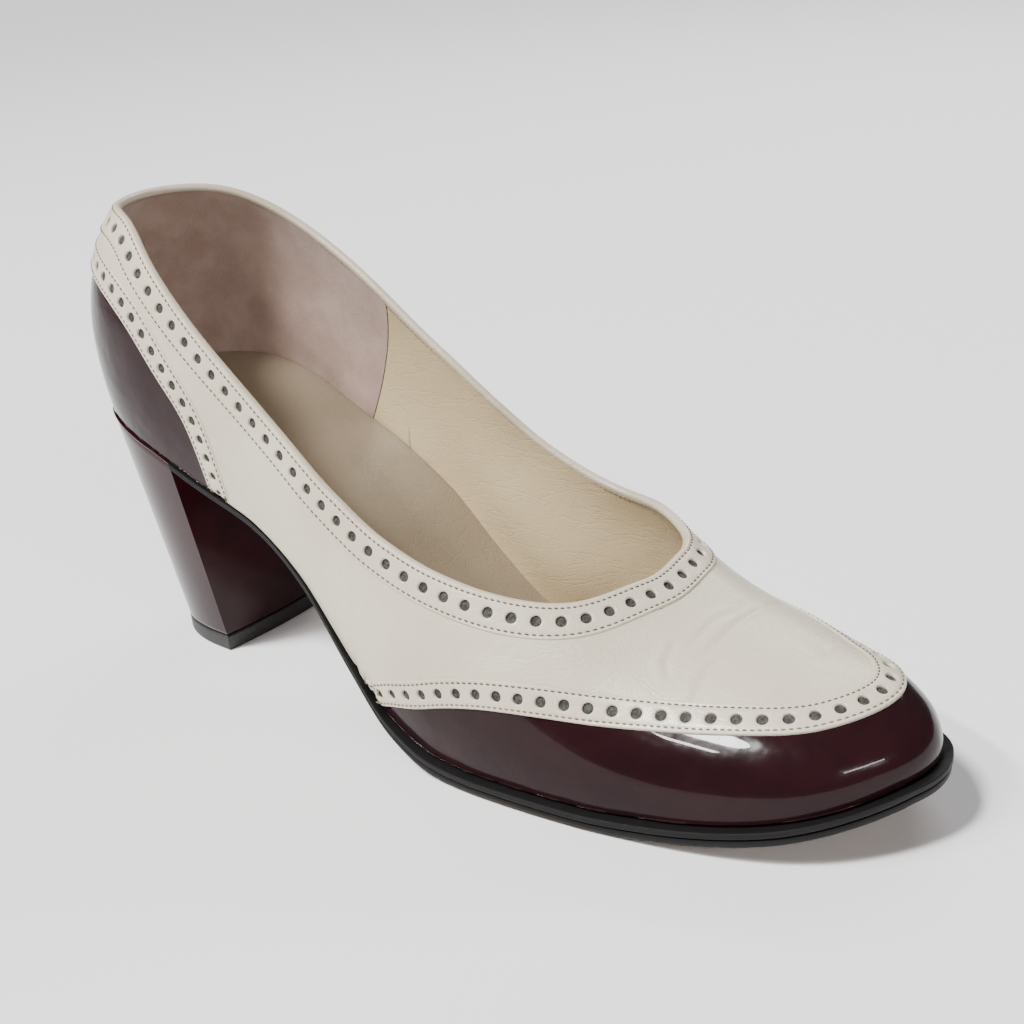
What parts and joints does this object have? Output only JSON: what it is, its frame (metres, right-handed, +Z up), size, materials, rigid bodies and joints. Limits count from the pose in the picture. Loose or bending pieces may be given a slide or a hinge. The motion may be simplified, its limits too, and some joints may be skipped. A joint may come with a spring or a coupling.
{
  "type": "spectator court shoe",
  "caption": "Right-foot court shoe with an almond toe, contrast wing toe and counter, punched bands and a covered block heel.",
  "frame": {"origin": "centre of the bounding box in plan, on the floor plane that heel and forefoot stand on", "axes": "+X from heel to toe, +Y to the inner side of the foot, +Z up"},
  "size_m": [0.238, 0.0776, 0.1224],
  "materials": {
    "upper": "smooth off-white leather, semi-gloss",
    "wing_toe": "dark burgundy patent leather, high gloss",
    "counter": "dark burgundy patent leather, high gloss",
    "outsole": "brown leather sole with a blackened edge",
    "insole": "plain beige leather sock",
    "heel": "heel block covered in dark burgundy patent leather",
    "toplift": "matt black heel tip"
  },
  "bodies": {
    "root": {"upper": "upper", "wing_toe": "wing_toe", "counter": "counter", "outsole": "outsole", "insole": "insole", "heel": "heel", "toplift": "toplift"}
  },
  "joints": []
}
